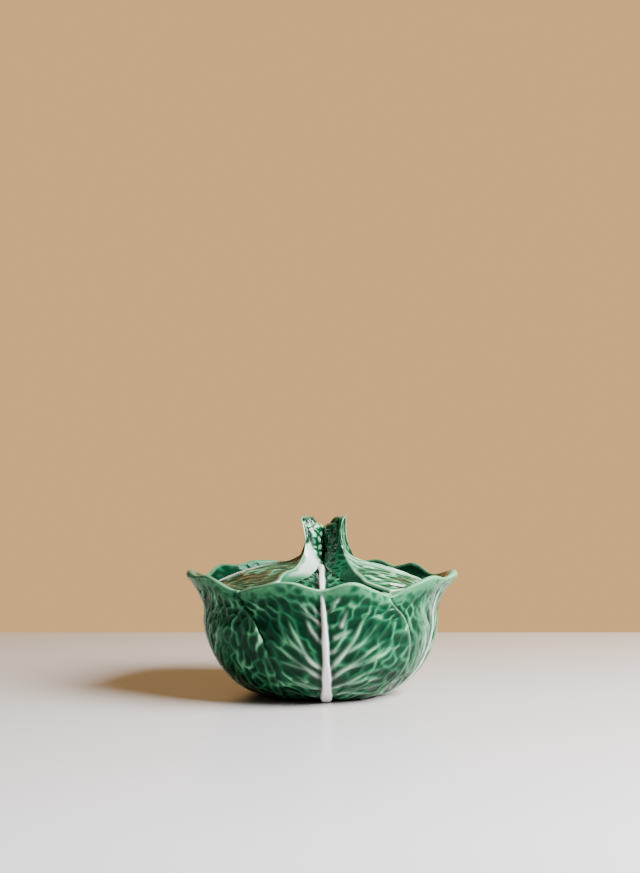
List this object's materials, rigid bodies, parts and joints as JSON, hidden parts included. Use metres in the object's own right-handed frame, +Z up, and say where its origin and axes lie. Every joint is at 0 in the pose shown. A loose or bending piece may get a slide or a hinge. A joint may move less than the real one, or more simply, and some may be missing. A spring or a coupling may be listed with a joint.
{
  "type": "soup tureen",
  "caption": "Glazed earthenware soup tureen shaped as overlapping cabbage leaves, with a lift-off domed lid whose leaves curl up as the handle.",
  "frame": {"origin": "centre of the foot, on the surface that the tureen stands on", "axes": "+Z up, +X towards the rim tip on the right, -Y towards the front leaf"},
  "size_m": [0.2442, 0.2243, 0.158],
  "materials": {
    "bowl_glaze": "gloss",
    "lid_glaze": "gloss",
    "leaf_glaze": "gloss"
  },
  "bodies": {
    "bowl": {"bowl": "bowl_glaze"},
    "lid": {"lid_dome": "lid_glaze", "lid_leaf_left": "leaf_glaze", "lid_leaf_right": "leaf_glaze"}
  },
  "joints": [
    {"name": "lid_lift", "type": "slide", "parent": "bowl", "child": "lid", "axis": [0, 0, 1], "range_m": [0, 0.12]}
  ]
}
